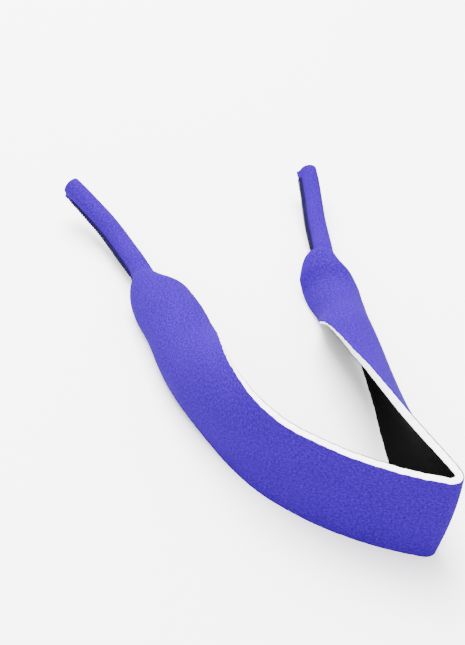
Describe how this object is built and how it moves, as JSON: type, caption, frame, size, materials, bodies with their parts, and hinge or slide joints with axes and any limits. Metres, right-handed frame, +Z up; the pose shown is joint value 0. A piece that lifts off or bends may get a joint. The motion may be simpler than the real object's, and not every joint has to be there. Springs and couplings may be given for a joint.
{
  "type": "eyeglass retainer strap",
  "caption": "Soft folded foam-laminate strap with a wide flat band and a stitched tubular sleeve at each end.",
  "frame": {"origin": "bottom middle of the bounding box, on the surface that the strap rests on", "axes": "+Z up, across the band where it stands upright; +Y from the fold towards the open ends; +X to the right with the open ends away from the viewer"},
  "size_m": [0.1632, 0.2218, 0.0354],
  "materials": {
    "jersey": "fine blue-violet knit, matt with a soft sheen",
    "foam": "white closed-cell foam, matt",
    "lining": "fine black knit, matt",
    "thread": "dark navy spun thread"
  },
  "bodies": {
    "left_band": {"left_band_jersey": "jersey", "left_band_foam": "foam", "left_band_lining": "lining"},
    "right_band": {"right_band_jersey": "jersey", "right_band_foam": "foam", "right_band_lining": "lining"},
    "left_sleeve": {"left_sleeve_jersey": "jersey", "left_sleeve_foam": "foam", "left_sleeve_lining": "lining", "left_needle_thread": "thread", "left_upper_looper_thread": "thread", "left_lower_looper_thread": "thread"},
    "right_sleeve": {"right_sleeve_jersey": "jersey", "right_sleeve_foam": "foam", "right_sleeve_lining": "lining", "right_needle_thread": "thread", "right_upper_looper_thread": "thread", "right_lower_looper_thread": "thread"}
  },
  "joints": [
    {"name": "back_fold", "type": "hinge", "parent": "left_band", "child": "right_band", "pos_m": [0.0806, -0.10879, 0.0176], "axis": [0, 0, -1], "range_deg": [-10, 110], "stiffness_Nm_per_rad": 0.004},
    {"name": "left_neck", "type": "hinge", "parent": "left_band", "child": "left_sleeve", "pos_m": [-0.03507, 0.00737, 0.00932], "axis": [0.9822, 0.1846, -0.0343], "range_deg": [-25, 25], "stiffness_Nm_per_rad": 0.006},
    {"name": "right_neck", "type": "hinge", "parent": "right_band", "child": "right_sleeve", "pos_m": [0.04187, 0.0406, 0.00764], "axis": [0.9057, -0.1738, -0.3867], "range_deg": [-25, 25], "stiffness_Nm_per_rad": 0.006}
  ]
}
